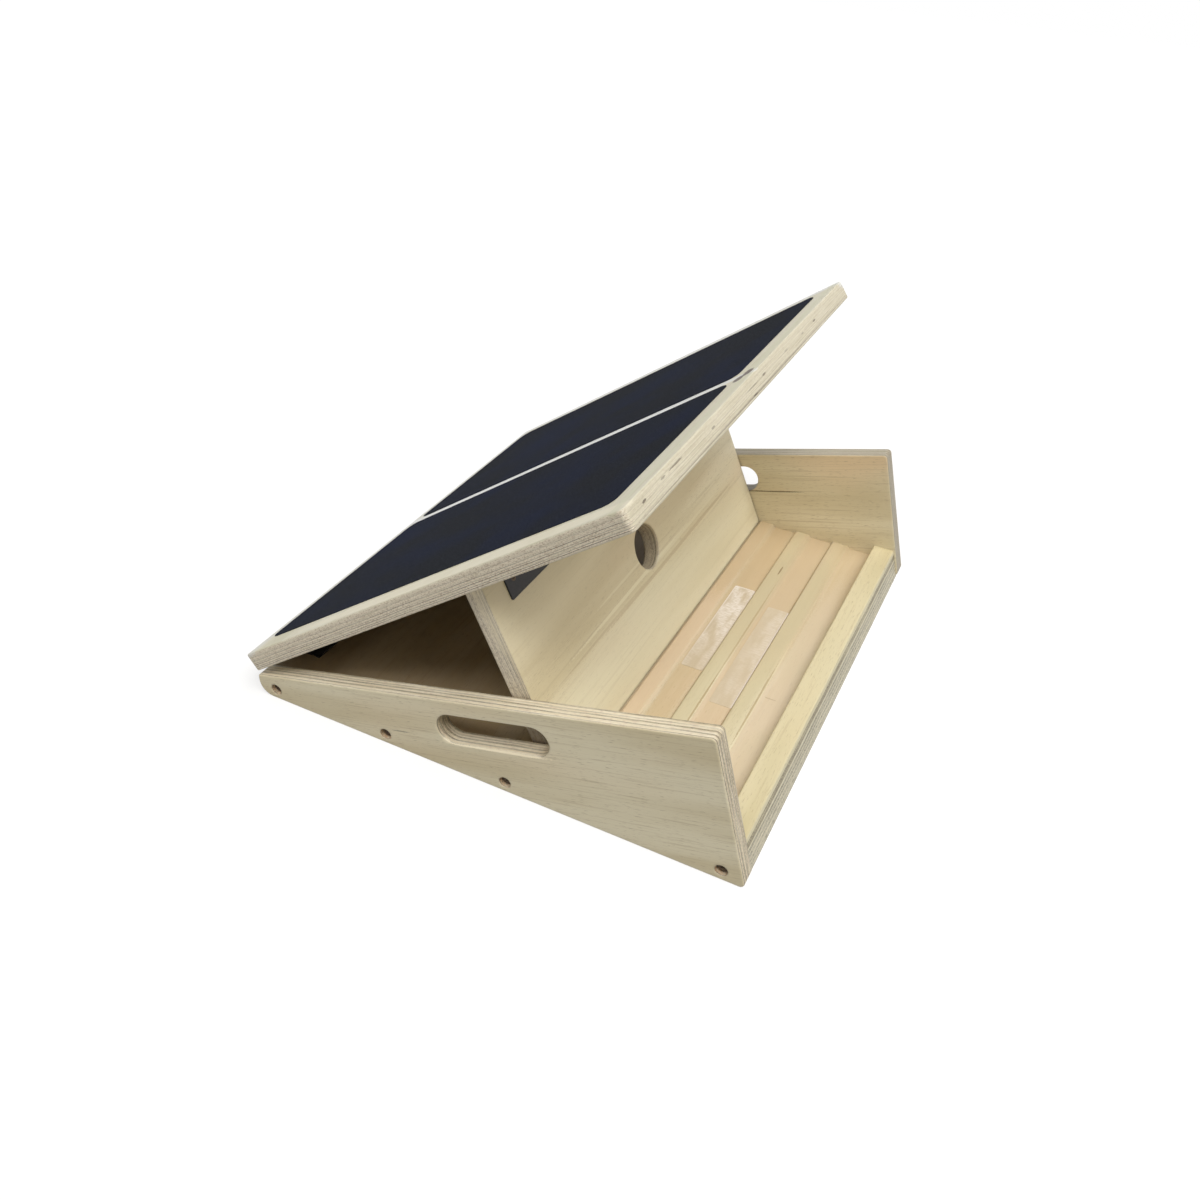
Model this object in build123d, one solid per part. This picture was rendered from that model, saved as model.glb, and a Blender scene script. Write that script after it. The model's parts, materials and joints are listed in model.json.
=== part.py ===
from build123d import *
from math import asin, atan, atan2, cos, degrees, hypot, radians, sin, tan
import os

# Adjustable slant board: a plywood case of two wedge-shaped sides on a notched base, a platform
# hinged along the low front edge, and a prop hinged under it that stands in one of four notches.
# Millimetres. +Y points to the high rear end, +Z is up, the origin is the middle of the underside.

# ---- case ----
case_width = 430.0           # over both sides
side_length = 399.0          # along the bottom edge
side_lean = 34.7             # how far the rear edge leans forward at the top
front_height = 16.7
rear_height = 117.5
board = 15.0                 # plywood of the sides, the platform and the prop
nose_radius = 12.0           # bottom front corner of the sides and of the base
corner_radius = 3.5          # rear corners of the sides
toe_radius = 1.1             # top front corner of the sides
soft_edge = 1.0              # sanding on the plywood edges

# ---- base board and its notches ----
base_thickness = 17.0
stop_insets = (138.0, 102.2, 66.1, 28.0)   # rear end of the case to the upright wall of each notch
notch_width = 23.5
notch_depth = 2.5
notch_ramp = 3.5             # run of the sloping front wall
rear_inset = 1.9             # rear face of the base and its rail in front of the sides'
rail_height = 8.5

# ---- hand slots ----
slot_length = 92.0
slot_width = 25.0
slot_from_front = 208.0      # along the top edge, to the slot's middle
slot_below_top = 25.0        # square to the top edge, to the slot's middle

# ---- screws through the sides ----
side_screw_shares = (0.041, 0.293, 0.546, 0.955)   # shares of the side's length
counterbore_radius = 4.75
counterbore_depth = 6.0
side_head_radius = 4.0
side_head_height = 2.4
side_shank_radius = 2.0
side_shank_length = 32.0

# ---- platform ----
platform_length = 375.2
platform_overhang = 1.5      # front face of the platform in front of the hinge axis
platform_front_corner = 1.5
platform_rear_corner = 4.0
platform_angle = 36.6        # slope at rest, with the prop in the steepest notch
grip_thickness = 0.4
grip_side_border = 17.7
grip_front_border = 10.0
grip_rear_border = 19.0
grip_shift = -1.9            # the pair sits a little to the left
grip_gap = 12.0              # bare strip between the two grip sheets
grip_corner = 9.0

# ---- prop ----
pivot_share = 0.6290         # front to prop hinge axis, as a share of the platform's length
prop_side_gap = 1.2
prop_top_gap = 1.6           # end of the prop below its hinge axis
foot_gap = 0.8               # line of the rear face to the upright wall of its notch, at the foot
foot_lift = 0.2              # foot above the floor of its notch
swing_gap = 0.3              # heel to the top of that wall as the prop swings out
finger_hole_radius = 18.2
finger_hole_height = 81.5    # along the rear face, from the foot
finger_hole_edge = 2.0

# ---- butt hinges ----
hinge_length = 65.0
hinge_inset = 38.4           # outer face of the case to the end of the hinge
hinge_offset = 2.4           # hinge axis to the face of the board under each leaf
leaf_width = 25.0            # from the hinge axis
leaf_thickness = 1.3
leaf_corner = 1.0
knuckle_radius = 2.1
knuckle_count = 5
knuckle_gap = 0.3
pin_radius = 1.2
pin_clearance = 0.05
pin_head_radius = 1.8
pin_head_height = 1.0
front_axis_distance = 2.8    # front edge of the case to the front hinge axis

# ---- hinge screws ----
leaf_screw_row = 12.0        # hinge axis to the row of screws
leaf_screw_pitch = 23.0
leaf_screw_count = 3
leaf_head_radius = 3.0
leaf_shank_radius = 1.6
leaf_screw_length = 12.0
screw_clearance = 0.1
screw_tip_gap = 0.5
drive_arm = 0.8              # width of the cross recess
drive_depth = 0.9

# ---- clear labels ----
label_spans = ((-88.0, 38.0), (-72.0, 69.0))   # left and right end in the second and third notch
label_width = 18.5
label_thickness = 0.25
label_corner = 1.5
label_setback = 0.5          # from the foot of the notch's ramp

# ---- worked out from the sizes above ----
inner_half = case_width / 2 - board
rear_slope = side_lean / rear_height
top_slope = atan((rear_height - front_height) / (side_length - side_lean))
stops = [side_length - inset for inset in stop_insets]
notch_floor = base_thickness - notch_depth
pivot_spacing = pivot_share * platform_length
hinge_middle = case_width / 2 - hinge_inset - hinge_length / 2
knuckle_pitch = hinge_length / knuckle_count
prop_half = inner_half - prop_side_gap


def from_front(distance):
    """Y of a point at this distance behind the front edge of the case."""
    return distance - side_length / 2


front_axis_y = from_front(front_axis_distance)
front_axis_z = base_thickness + hinge_offset
prop_axis_y = front_axis_y + pivot_spacing * cos(radians(platform_angle))
prop_axis_z = front_axis_z + pivot_spacing * sin(radians(platform_angle))

# The prop's rear face passes through its foot, and in front of its hinge axis by the offset.
foot_y = from_front(stops[0] - foot_gap)
foot_z = notch_floor + foot_lift
foot_reach = hypot(foot_y - prop_axis_y, prop_axis_z - foot_z)
prop_lean = atan2(foot_y - prop_axis_y, prop_axis_z - foot_z) + asin(hinge_offset / foot_reach)
prop_length = (foot_reach**2 - hinge_offset**2) ** 0.5

# The heel is trimmed round the hinge axis, so that it swings clear of its notch.
swing_reach = hypot(from_front(stops[0]) - prop_axis_y, prop_axis_z - base_thickness) - swing_gap

# Frames of the moving boards: X is the hinge axis, and the board is one offset away from it.
platform_frame = Pos(0, front_axis_y, front_axis_z) * Rot(platform_angle, 0, 0)
prop_frame = Pos(0, prop_axis_y, prop_axis_z) * Rot(degrees(prop_lean), 0, 0)

# Frames of the four kinds of hinge leaf: the leaf runs along +Y and its board is on the +Z side.
base_leaf_frame = Pos(0, front_axis_y, front_axis_z) * Rot(0, 180, 0)
platform_leaf_frame = platform_frame
upper_leaf_frame = platform_frame * Pos(0, pivot_spacing, 0)
prop_leaf_frame = prop_frame * Plane(origin=(0, 0, 0), x_dir=(-1, 0, 0), z_dir=(0, -1, 0)).location


def cross_recess(reach):
    """Cross-shaped driver recess, cut down from z = 0."""
    arm = Box(2 * reach, drive_arm, drive_depth, align=(Align.CENTER, Align.CENTER, Align.MAX))
    return arm + Rot(0, 0, 90) * arm


def case_corners(points):
    """Flat YZ outline from distances behind the front edge and heights."""
    return Plane.YZ * Polygon(*[(from_front(y), z) for y, z in points], align=None)


def round_corner(outline, distance, height, radius):
    """Round the outline's corner nearest to this distance and height."""
    corner = outline.vertices().sort_by_distance((0, from_front(distance), height))[0]
    return fillet(corner, radius)


# ---- case boards ----
def side_outline():
    outline = case_corners([
        (0, 0),
        (side_length, 0),
        (side_length - side_lean, rear_height),
        (0, front_height),
    ])
    outline = round_corner(outline, 0, 0, nose_radius)
    outline = round_corner(outline, side_length, 0, corner_radius)
    outline = round_corner(outline, side_length - side_lean, rear_height, corner_radius)
    return round_corner(outline, 0, front_height, toe_radius)


def slot_outline():
    """Hand slot in the YZ plane, parallel to the top edge."""
    y = from_front(slot_from_front * cos(top_slope) + slot_below_top * sin(top_slope))
    z = front_height + slot_from_front * sin(top_slope) - slot_below_top * cos(top_slope)
    slot = SlotOverall(slot_length, slot_width)
    return Pos(0, y, z) * Rot(degrees(top_slope), 0, 0) * Plane.YZ.location * slot


def side_screw_frames(outer_x):
    """Frames at the outer face with +Z pointing out of the case."""
    turn = Rot(0, 90 if outer_x > 0 else -90, 0)
    height = base_thickness / 2
    return [Pos(outer_x, from_front(share * side_length), height) * turn for share in side_screw_shares]


def make_side(outer_x):
    first_x = min(outer_x, outer_x - board * (1 if outer_x > 0 else -1))
    panel = Pos(first_x, 0, 0) * extrude(side_outline() - slot_outline(), board)
    faces = panel.faces().filter_by(Axis.X)
    panel = fillet(faces.edges(), soft_edge)
    bore = Cylinder(counterbore_radius, counterbore_depth, align=(Align.CENTER, Align.CENTER, Align.MAX))
    bore += Cylinder(side_shank_radius + screw_clearance, 4 * board)
    return panel - [frame * bore for frame in side_screw_frames(outer_x)]


def make_side_screws(outer_x):
    head = Cylinder(side_head_radius, side_head_height, align=(Align.CENTER, Align.CENTER, Align.MIN))
    shank = Cylinder(side_shank_radius, side_shank_length, align=(Align.CENTER, Align.CENTER, Align.MAX))
    screw = head + shank - Pos(0, 0, side_head_height) * cross_recess(side_head_radius / 2)
    seat = Pos(0, 0, -counterbore_depth)
    return [frame * seat * screw for frame in side_screw_frames(outer_x)]


def rear_face(height):
    """Distance from the front to the base's leaning rear face at this height."""
    return side_length - rear_inset - rear_slope * height


def make_base():
    corners = [(0, 0), (rear_face(0), 0), (rear_face(base_thickness), base_thickness)]
    for stop in reversed(stops):
        corners += [
            (stop, base_thickness),
            (stop, notch_floor),
            (stop - notch_width + notch_ramp, notch_floor),
            (stop - notch_width, base_thickness),
        ]
    corners.append((0, base_thickness))
    outline = round_corner(case_corners(corners), 0, 0, nose_radius)
    outline = round_corner(outline, 0, base_thickness, soft_edge)
    slab = Pos(-inner_half, 0, 0) * extrude(outline, 2 * inner_half)
    reach = counterbore_depth + side_shank_length + screw_tip_gap
    pilot = Cylinder(side_shank_radius + screw_clearance, 2 * reach)
    for outer_x in (-case_width / 2, case_width / 2):
        slab -= [frame * pilot for frame in side_screw_frames(outer_x)]
    return slab - leaf_screw_holes(base_leaf_frame)


def make_rail():
    front = stops[-1]
    top = base_thickness + rail_height
    outline = case_corners([
        (front, base_thickness),
        (rear_face(base_thickness), base_thickness),
        (rear_face(top), top),
        (front, top),
    ])
    outline = round_corner(outline, front, top, soft_edge)
    outline = round_corner(outline, rear_face(top), top, soft_edge)
    return Pos(-inner_half, 0, 0) * extrude(outline, 2 * inner_half)


# ---- platform and grip sheets ----
def make_platform():
    outline = Rectangle(case_width, platform_length)
    outline = fillet(outline.vertices().group_by(Axis.Y)[0], platform_front_corner)
    outline = fillet(outline.vertices().group_by(Axis.Y)[-1], platform_rear_corner)
    slab = extrude(Pos(0, platform_length / 2 - platform_overhang, hinge_offset) * outline, board)
    slab = fillet(slab.faces().filter_by(Axis.Z).edges(), soft_edge)
    holes = leaf_screw_holes(platform_leaf_frame) + leaf_screw_holes(upper_leaf_frame)
    return platform_frame * slab - holes


def make_grip(side):
    length = platform_length - grip_front_border - grip_rear_border
    width = (case_width - grip_gap) / 2 - grip_side_border
    sheet = extrude(RectangleRounded(width, length, grip_corner), grip_thickness)
    x = side * (width + grip_gap) / 2 + grip_shift
    y = grip_front_border + length / 2 - platform_overhang
    return platform_frame * Pos(x, y, hinge_offset + board) * sheet


# ---- prop ----
def make_prop():
    slab = Pos(0, -hinge_offset, -prop_top_gap) * Box(
        2 * prop_half, board, swing_reach, align=(Align.CENTER, Align.MAX, Align.MAX)
    )
    slab = fillet(slab.edges().filter_by(Axis.X).group_by(Axis.Z)[-1], soft_edge)
    slab &= Rot(0, 90, 0) * Cylinder(swing_reach, case_width)
    hole = Cylinder(finger_hole_radius, 4 * board, rotation=(90, 0, 0))
    slab -= Pos(0, 0, finger_hole_height - prop_length) * hole
    rims = slab.edges().filter_by(GeomType.CIRCLE).filter_by(
        lambda edge: abs(edge.radius - finger_hole_radius) < 0.01
    )
    slab = prop_frame * fillet(rims, finger_hole_edge)
    below = Pos(0, 0, foot_z) * Box(
        case_width, 2 * side_length, board, align=(Align.CENTER, Align.CENTER, Align.MAX)
    )
    return slab - below - leaf_screw_holes(prop_leaf_frame)


# ---- hinges ----
def hinge_centres():
    return (-hinge_middle, hinge_middle)


def knuckle_length():
    return knuckle_pitch - knuckle_gap


def knuckle_places(first):
    """Middles of every second knuckle, from the first one given."""
    start = (knuckle_pitch - hinge_length) / 2
    return [start + index * knuckle_pitch for index in range(first, knuckle_count, 2)]


def leaf_screw_places():
    start = -leaf_screw_pitch * (leaf_screw_count - 1) / 2
    return [(start + index * leaf_screw_pitch, leaf_screw_row) for index in range(leaf_screw_count)]


def leaf_screw():
    """Countersunk screw driven along +Z, its head flush at z = 0."""
    head = Cone(leaf_head_radius, leaf_shank_radius, leaf_thickness,
                align=(Align.CENTER, Align.CENTER, Align.MIN))
    shank = Cylinder(leaf_shank_radius, leaf_screw_length, align=(Align.CENTER, Align.CENTER, Align.MIN))
    recess = Rot(180, 0, 0) * cross_recess(leaf_head_radius * 0.6)
    return head + shank - recess


def leaf_face(x, y):
    """Frame on the open face of a leaf, looking into its board."""
    return Pos(x, y, hinge_offset - leaf_thickness)


def leaf_screw_holes(frame):
    """Pilot holes for both hinges that lie in this leaf frame."""
    pilot = Cylinder(leaf_shank_radius + screw_clearance, 2 * (leaf_screw_length + screw_tip_gap))
    return [
        Pos(centre, 0, 0) * frame * leaf_face(x, y) * pilot
        for centre in hinge_centres()
        for x, y in leaf_screw_places()
    ]


def make_leaf(first):
    """Leaf along +Y with its own knuckles, and room for those of the other leaf."""
    plate = Pos(0, 0, hinge_offset - leaf_thickness) * Box(
        hinge_length - knuckle_gap, leaf_width, leaf_thickness, align=(Align.CENTER, Align.MIN, Align.MIN)
    )
    free_corners = plate.edges().filter_by(Axis.Z).group_by(Axis.Y)[-1]
    plate = fillet(free_corners, leaf_corner)
    room = Box(knuckle_pitch + knuckle_gap, 2 * (knuckle_radius + knuckle_gap), 4 * knuckle_radius)
    for x in knuckle_places(1 - first):
        plate -= Pos(x, 0, 0) * room
    barrel = Rot(0, 90, 0) * Cylinder(knuckle_radius, knuckle_length())
    for x in knuckle_places(first):
        plate += Pos(x, 0, 0) * barrel
    plate -= Rot(0, 90, 0) * Cylinder(pin_radius + pin_clearance, 2 * hinge_length)
    sink = Cone(leaf_head_radius + screw_clearance, leaf_shank_radius + screw_clearance, leaf_thickness,
                align=(Align.CENTER, Align.CENTER, Align.MIN))
    for x, y in leaf_screw_places():
        plate -= leaf_face(x, y) * sink
    return plate


def make_pin():
    head = Cylinder(pin_head_radius, pin_head_height, align=(Align.CENTER, Align.CENTER, Align.MIN))
    head = Pos(0, 0, hinge_length / 2) * head
    return Rot(0, 90, 0) * (Cylinder(pin_radius, hinge_length) + head + Rot(180, 0, 0) * head)


def screws_in(frame):
    """Every screw of both hinges in this leaf frame, as separate solids."""
    return [
        Pos(centre, 0, 0) * frame * leaf_face(x, y) * leaf_screw()
        for centre in hinge_centres()
        for x, y in leaf_screw_places()
    ]


# ---- labels ----
def make_label(index):
    """Clear film on the floor of one of the middle notches."""
    left, right = label_spans[index - 1]
    front = stops[index] - notch_width + notch_ramp + label_setback
    film = extrude(RectangleRounded(right - left, label_width, label_corner), label_thickness)
    return Pos((left + right) / 2, from_front(front + label_width / 2), notch_floor) * film


# ---- assembly ----
pieces = {
    "base_board": make_base(),
    "rear_rail": make_rail(),
    "platform_board": make_platform(),
    "prop_board": make_prop(),
    "front_hinge_base_screws": screws_in(base_leaf_frame),
    "front_hinge_platform_screws": screws_in(platform_leaf_frame),
    "prop_hinge_platform_screws": screws_in(upper_leaf_frame),
    "prop_hinge_prop_screws": screws_in(prop_leaf_frame),
    "notch_label_1": make_label(1),
    "notch_label_2": make_label(2),
}
for name, sign in (("left", -1), ("right", 1)):
    at_hinge = Pos(sign * hinge_middle, 0, 0)
    pieces[f"{name}_side"] = make_side(sign * case_width / 2)
    pieces[f"{name}_side_screws"] = make_side_screws(sign * case_width / 2)
    pieces[f"{name}_grip_sheet"] = make_grip(sign)
    pieces[f"{name}_front_hinge_base_leaf"] = at_hinge * base_leaf_frame * make_leaf(0)
    pieces[f"{name}_front_hinge_platform_leaf"] = at_hinge * platform_leaf_frame * make_leaf(1)
    pieces[f"{name}_front_hinge_pin"] = at_hinge * base_leaf_frame * make_pin()
    pieces[f"{name}_prop_hinge_platform_leaf"] = at_hinge * upper_leaf_frame * make_leaf(0)
    pieces[f"{name}_prop_hinge_prop_leaf"] = at_hinge * prop_leaf_frame * make_leaf(1)
    pieces[f"{name}_prop_hinge_pin"] = at_hinge * upper_leaf_frame * make_pin()

os.makedirs("parts", exist_ok=True)
for node, shape in pieces.items():
    solids = shape if isinstance(shape, list) else [shape]
    whole = solids[0] if len(solids) == 1 else Compound(children=solids)
    whole.label = node
    export_step(whole, f"parts/{node}.step")
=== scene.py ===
import bmesh
import bpy
import json
import math
from mathutils import Matrix, Vector


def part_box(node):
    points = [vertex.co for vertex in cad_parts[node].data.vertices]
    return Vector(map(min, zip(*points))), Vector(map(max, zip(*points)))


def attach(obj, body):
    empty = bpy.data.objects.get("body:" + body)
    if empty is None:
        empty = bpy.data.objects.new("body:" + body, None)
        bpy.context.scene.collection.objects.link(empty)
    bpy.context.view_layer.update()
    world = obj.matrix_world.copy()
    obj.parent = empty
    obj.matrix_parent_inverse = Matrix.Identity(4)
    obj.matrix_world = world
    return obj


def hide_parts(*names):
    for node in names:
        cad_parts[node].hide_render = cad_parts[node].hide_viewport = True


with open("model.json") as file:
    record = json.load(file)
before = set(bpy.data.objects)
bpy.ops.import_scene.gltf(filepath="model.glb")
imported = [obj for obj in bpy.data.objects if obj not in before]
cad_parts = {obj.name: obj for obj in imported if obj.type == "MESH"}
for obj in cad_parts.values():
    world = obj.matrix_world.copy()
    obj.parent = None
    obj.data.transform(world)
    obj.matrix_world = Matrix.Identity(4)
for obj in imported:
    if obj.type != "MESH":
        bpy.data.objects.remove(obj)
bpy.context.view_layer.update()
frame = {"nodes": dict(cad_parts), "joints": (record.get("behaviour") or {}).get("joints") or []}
nodes = frame["nodes"]
joints = {joint["name"]: joint for joint in frame["joints"]}
mm = 0.001
print("frame loaded:", len(nodes), "CAD nodes")


# sRGB hex to linear colour
def linear(hexText):
    values = []
    for start in (1, 3, 5):
        c = int(hexText[start:start + 2], 16) / 255
        values.append(c / 12.92 if c <= 0.04045 else ((c + 0.055) / 1.055) ** 2.4)
    return (*values, 1.0)


# adds a node and gives back one of its outputs, or all of them where out is None;
# inputs maps a socket's name or number to a value or to the socket that feeds it
def addNode(tree, kind, inputs=None, out=0, **settings):
    node = tree.nodes.new(kind)
    for key, value in settings.items():
        setattr(node, key, value)
    for key, value in (inputs or {}).items():
        if isinstance(value, bpy.types.NodeSocket):
            tree.links.new(value, node.inputs[key])
        else:
            node.inputs[key].default_value = value
    if out is None or not node.outputs:
        return node.outputs
    return node.outputs[out]


def newMaterial(name):
    material = bpy.data.materials.new(name)
    material.use_nodes = True
    material.node_tree.nodes.clear()
    return material, material.node_tree


# noise of the given sizes along X, Y and Z: 0 at low, strength at high
def grain(tree, place, seed, sizes, low, high, strength=1.0, detail=3.0, roughness=0.55):
    moved = addNode(tree, "ShaderNodeMapping",
                    {"Vector": place, "Scale": tuple(1 / size for size in sizes),
                     "Location": (seed, seed * 0.7, seed * 1.3)})
    noise = addNode(tree, "ShaderNodeTexNoise",
                    {"Vector": moved, "Scale": 1.0, "Detail": detail, "Roughness": roughness})
    return addNode(tree, "ShaderNodeMapRange", {0: noise, 1: low, 2: high, 4: strength},
                   interpolation_type="SMOOTHSTEP")


# colours laid over each other, each where its mask says
def layered(tree, colour, *coats):
    for mask, coat in coats:
        colour = addNode(tree, "ShaderNodeMix", {0: mask, 6: colour, 7: coat}, 2, data_type="RGBA")
    return colour


# how the boards lie; lengths in millimetres, angles in degrees
boards = {
    "thickness": 15.0,                # sides, platform and prop
    "platformAngle": 36.6,            # platform, up from level
    "propLean": 25.898,               # prop, away from upright
    "topSlope": 15.466,               # top edges of the sides
    "hingeOffset": 2.4,               # hinge axis to the board's face under each leaf
    "platformRear": 373.7,            # front hinge axis to the rear edge, along the platform
}
sideLow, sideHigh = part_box("right_side")
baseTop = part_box("base_board")[1].z
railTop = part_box("rear_rail")[1].z
platformPin = Vector(joints["platform_hinge"]["pos_m"])
propPin = Vector(joints["prop_hinge"]["pos_m"])
tilt = math.radians(boards["platformAngle"])
lean = math.radians(boards["propLean"])
slope = math.radians(boards["topSlope"])
platformUp = Vector((0, -math.sin(tilt), math.cos(tilt)))
platformBack = Vector((0, math.cos(tilt), math.sin(tilt)))
propBack = Vector((0, math.cos(lean), math.sin(lean)))
propDown = Vector((0, math.sin(lean), -math.cos(lean)))
sideAlong = Vector((0, math.cos(slope), math.sin(slope)))


# a board's own frame: X along the grain, Z out of the face, origin on the inner face
def boardFrame(origin, along, out):
    x = Vector(along).normalized()
    z = Vector(out).normalized()
    turn = Matrix((x, z.cross(x), z)).transposed()
    return {"origin": Vector(origin), "turn": turn}


# millimetres in a board's frame, from metres in the model's
def inBoard(place, point):
    return tuple(value / mm for value in place["turn"].transposed() @ (Vector(point) - place["origin"]))


rightFrame = boardFrame((sideLow.x, 0, 0), sideAlong, (1, 0, 0))
leftFrame = boardFrame((-sideLow.x, 0, 0), sideAlong, (-1, 0, 0))
baseFrame = boardFrame((0, 0, 0), (1, 0, 0), (0, 0, 1))
railFrame = boardFrame((0, 0, baseTop), (1, 0, 0), (0, 0, 1))
platformFrame = boardFrame(platformPin + platformUp * boards["hingeOffset"] * mm, (1, 0, 0), platformUp)
propFrame = boardFrame(propPin - propBack * (boards["hingeOffset"] + boards["thickness"]) * mm,
                       (1, 0, 0), propBack)

# Rotary-cut hardwood plywood, sanded, with a thin clear matt lacquer: a calm cream face with soft
# streaks and short fine pores along the grain. On the cut edges the plies that lie along the cut are
# smooth and light, and those cut across are greyer and speckled, with thin brown glue lines between.
holeBrown = "#4A3826"                 # marks of this colour are open holes, which the bump sinks too
plywoodLook = {
    "thickness": boards["thickness"],
    "faceLight": "#E6DCBE",
    "faceDark": "#D2C4A0",
    "faceWarm": "#E0CCA8",
    "streakBrown": "#B5A27E",
    "poreBrown": "#97825F",
    "routedLight": "#D4C2A4",
    "routedDark": "#C9B391",
    "plyLight": "#F0E8D2",
    "plyTan": "#DDD0B2",
    "plyEnd": "#BBAE93",
    "plySpeck": "#887A62",
    "blotchTan": "#C2A898",
    "glue": "#84704F",
    # patterns: millimetres along the grain, across it and through the board, then the noise at which
    # each starts and at which it is full, its strength, and the noise's detail and roughness
    "cloud": ((260.0, 30.0, 40.0), 0.30, 0.72, 1.0, 2.0),
    "warm": ((180.0, 60.0, 60.0), 0.45, 0.75, 0.5, 1.0),
    "streak": ((70.0, 2.2, 8.0), 0.50, 0.76, 0.42, 4.0, 0.62),
    "pore": ((7.0, 0.55, 3.0), 0.62, 0.74, 0.45, 1.0),        # real pores are 0.1 wide, drawn coarser
    "routed": ((90.0, 5.0, 5.0), 0.4, 0.7, 0.6),
    "routedCloud": ((110.0, 60.0, 9.0), 0.4, 0.65, 0.6),
    "wave": ((45.0, 45.0, 12.0), 0.2, 0.8, 0.7, 2.0),         # its strength is how far plies wander, in mm
    "plyGrain": ((40.0, 40.0, 0.7), 0.36, 0.66, 0.9),
    "speck": ((1.6, 1.6, 0.8), 0.46, 0.64, 0.8, 2.0, 0.6),    # real vessels are 0.1 across, drawn coarser
    "speckPale": ((1.6, 1.6, 0.8), 0.44, 0.32, 0.7, 2.0, 0.6),
    "patch": ((30.0, 30.0, 1.6), 0.32, 0.56, 1.0, 2.0),
    "blotch": ((4.0, 4.0, 2.0), 0.45, 0.75, 0.35, 2.0),
    # from the inner face: thickness, kind where 1 is a cross ply, strength of the glue line under it
    "plies": ((1.5, 0.0, 0.0), (1.3, 1.0, 0.7), (2.2, 0.0, 0.6), (1.2, 1.0, 0.9), (2.6, 0.0, 0.7),
              (1.2, 1.0, 0.7), (2.2, 0.0, 0.9), (1.3, 1.0, 0.6), (1.5, 0.0, 0.7)),
    "plySoftMm": 0.1,                 # half the blend between a ply and the next
    "endAlong": (0.85, 0.35),         # how grey each kind of ply is where the grain is cut across
    "endAcross": (0.05, 0.8),         # and where it isn't
    "uneven": (0.65, 1.15),           # how far that grey varies along the edge
    "glueMm": 0.3,                    # real glue lines are 0.1, drawn coarser to show
    "glueAlong": 1.0,                 # glue lines on the edges cut along the grain, against the others
    "glueBroken": (0.45, 1.0),        # how far their strength varies along the edge
    "floorBelow": None,               # height under which a face is bare routed wood
    "floorAbove": 1.0,                # and over which, as the underside stays sanded
    "floorSoftMm": 0.6,
    "onFace": (0.55, 0.85),           # how squarely a surface looks out where the sanded face shows
    "raggedUpTo": 60.0,               # marks that reach further across the grain fade out smoothly
    "raggedScale": 0.9,               # per millimetre
    "raggedDepth": 0.9,               # against the mark's size
    "markRim": (1.05, 0.7),           # where a mark starts and where it is full, against its size
    "poreSink": 1.5,
    "glueSink": 0.8,
    "holeSink": 3.0,
    "bump": 0.35,
    "bumpMm": 0.2,
    "softMm": 2.2,                    # how far the sanding rounds the edges in the shading
    "softSamples": 6,
    "roughness": (0.46, 0.68),        # clear of the streaks, and in them
}


# the board's own coordinates, how far the surface faces along each of them, and the height in it
def boardCoords(tree, place):
    coords = addNode(tree, "ShaderNodeTexCoord", out=None)
    turn = place["turn"].to_euler()
    local = addNode(tree, "ShaderNodeMapping",
                    {"Vector": coords["Object"], "Location": place["origin"], "Rotation": turn,
                     "Scale": (mm, mm, mm)}, vector_type="TEXTURE")
    normal = addNode(tree, "ShaderNodeMapping", {"Vector": coords["Normal"], "Rotation": turn},
                     vector_type="TEXTURE")
    normal = addNode(tree, "ShaderNodeVectorMath", {0: normal}, operation="ABSOLUTE")
    facing = addNode(tree, "ShaderNodeSeparateXYZ", {0: normal}, None)
    height = addNode(tree, "ShaderNodeSeparateXYZ", {0: local}, 2)
    return local, facing, height


# each pattern is moved along by its own amount, so that they don't line up
def sandedFace(tree, local, height, seed, look):
    streak = grain(tree, local, seed + 2.1, *look["streak"])
    pore = grain(tree, local, seed + 5.9, *look["pore"])
    face = layered(
        tree, linear(look["faceLight"]),
        (grain(tree, local, seed, *look["cloud"]), linear(look["faceDark"])),
        (grain(tree, local, seed + 7.3, *look["warm"]), linear(look["faceWarm"])),
        (streak, linear(look["streakBrown"])),
        (pore, linear(look["poreBrown"])))
    if look["floorBelow"]:
        routed = layered(
            tree, linear(look["routedLight"]),
            (grain(tree, local, seed + 4.4, *look["routed"]), linear(look["routedDark"])),
            (grain(tree, local, seed + 6.4, *look["routedCloud"]), linear(look["faceDark"])),
            (pore, linear(look["poreBrown"])))
        below = addNode(tree, "ShaderNodeMapRange",
                        {0: height, 1: look["floorBelow"], 2: look["floorBelow"] - look["floorSoftMm"]})
        above = addNode(tree, "ShaderNodeMath", {0: height, 1: look["floorAbove"]},
                        operation="GREATER_THAN")
        floor = addNode(tree, "ShaderNodeMath", {0: below, 1: above}, operation="MULTIPLY")
        face = layered(tree, face, (floor, routed))
    return face, streak, pore


# a colour ramp through the board: grey is the kind of each ply or, where the glue lines have a width,
# the strength of each line
def fillRamp(ramp, plies, look, glueMm=None):
    stops = []
    top = 0.0
    for thickness, kind, line in plies:
        start, top = top, top + thickness
        if glueMm:
            stops += [(start - glueMm / 2, 0.0), (start, line), (start + glueMm / 2, 0.0)]
        else:
            stops += [(start + look["plySoftMm"], kind), (top - look["plySoftMm"], kind)]
    while len(ramp.elements) < len(stops):
        ramp.elements.new(1.0)
    for element, (position, grey) in zip(ramp.elements, stops):
        element.position = min(1.0, max(0.0, position / look["thickness"]))
        element.color = (grey, grey, grey, 1.0)


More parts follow.
